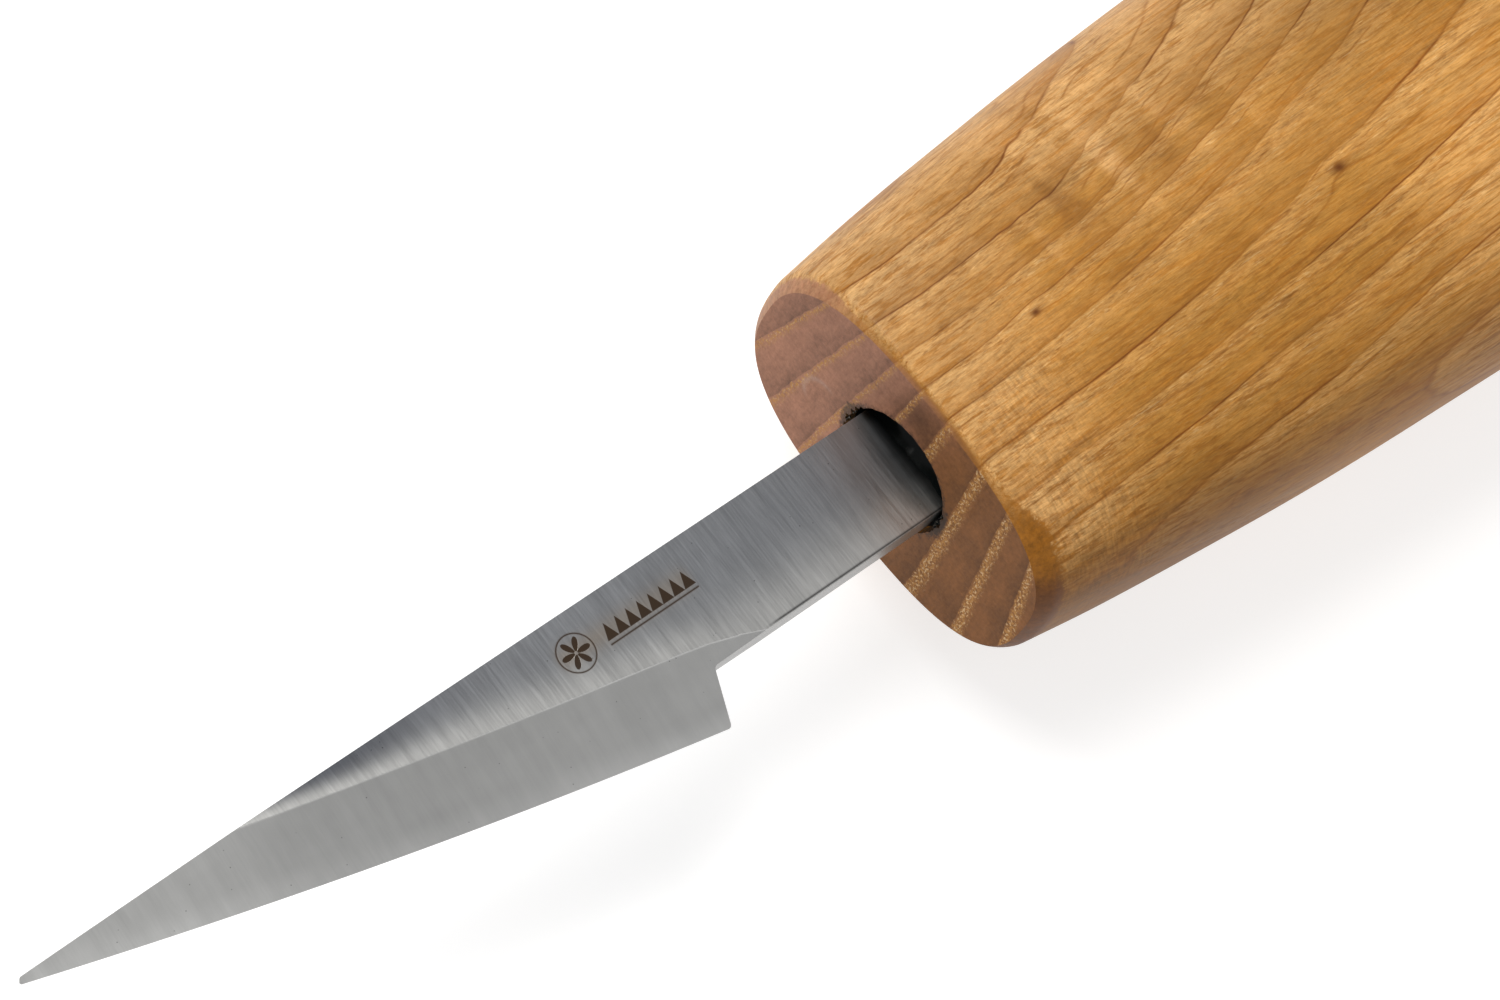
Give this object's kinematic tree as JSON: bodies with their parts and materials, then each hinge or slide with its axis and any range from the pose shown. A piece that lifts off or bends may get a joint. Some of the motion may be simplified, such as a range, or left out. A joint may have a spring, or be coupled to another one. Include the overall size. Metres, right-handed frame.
{
  "type": "chip carving knife",
  "caption": "Chip carving knife: a short pointed blade with a straight spine and a dropped heel, glued into a swelled one-piece wooden handle.",
  "frame": {"origin": "centre of the handle's flat front face, in the middle of the blade's thickness", "axes": "+X along the knife to the blade's tip, +Y to the cutting edge, +Z out of the blade's marked side; the knife lies on its side"},
  "size_m": [0.169, 0.0282, 0.0206],
  "materials": {
    "steel": "cross-ground carbon steel, with satin bevels and a dark laser mark",
    "wood": "sanded ring-porous hardwood with a satin oil finish",
    "glue": "cured dark epoxy"
  },
  "bodies": {
    "root": {"blade": "steel", "handle": "wood", "epoxy": "glue"}
  },
  "joints": []
}
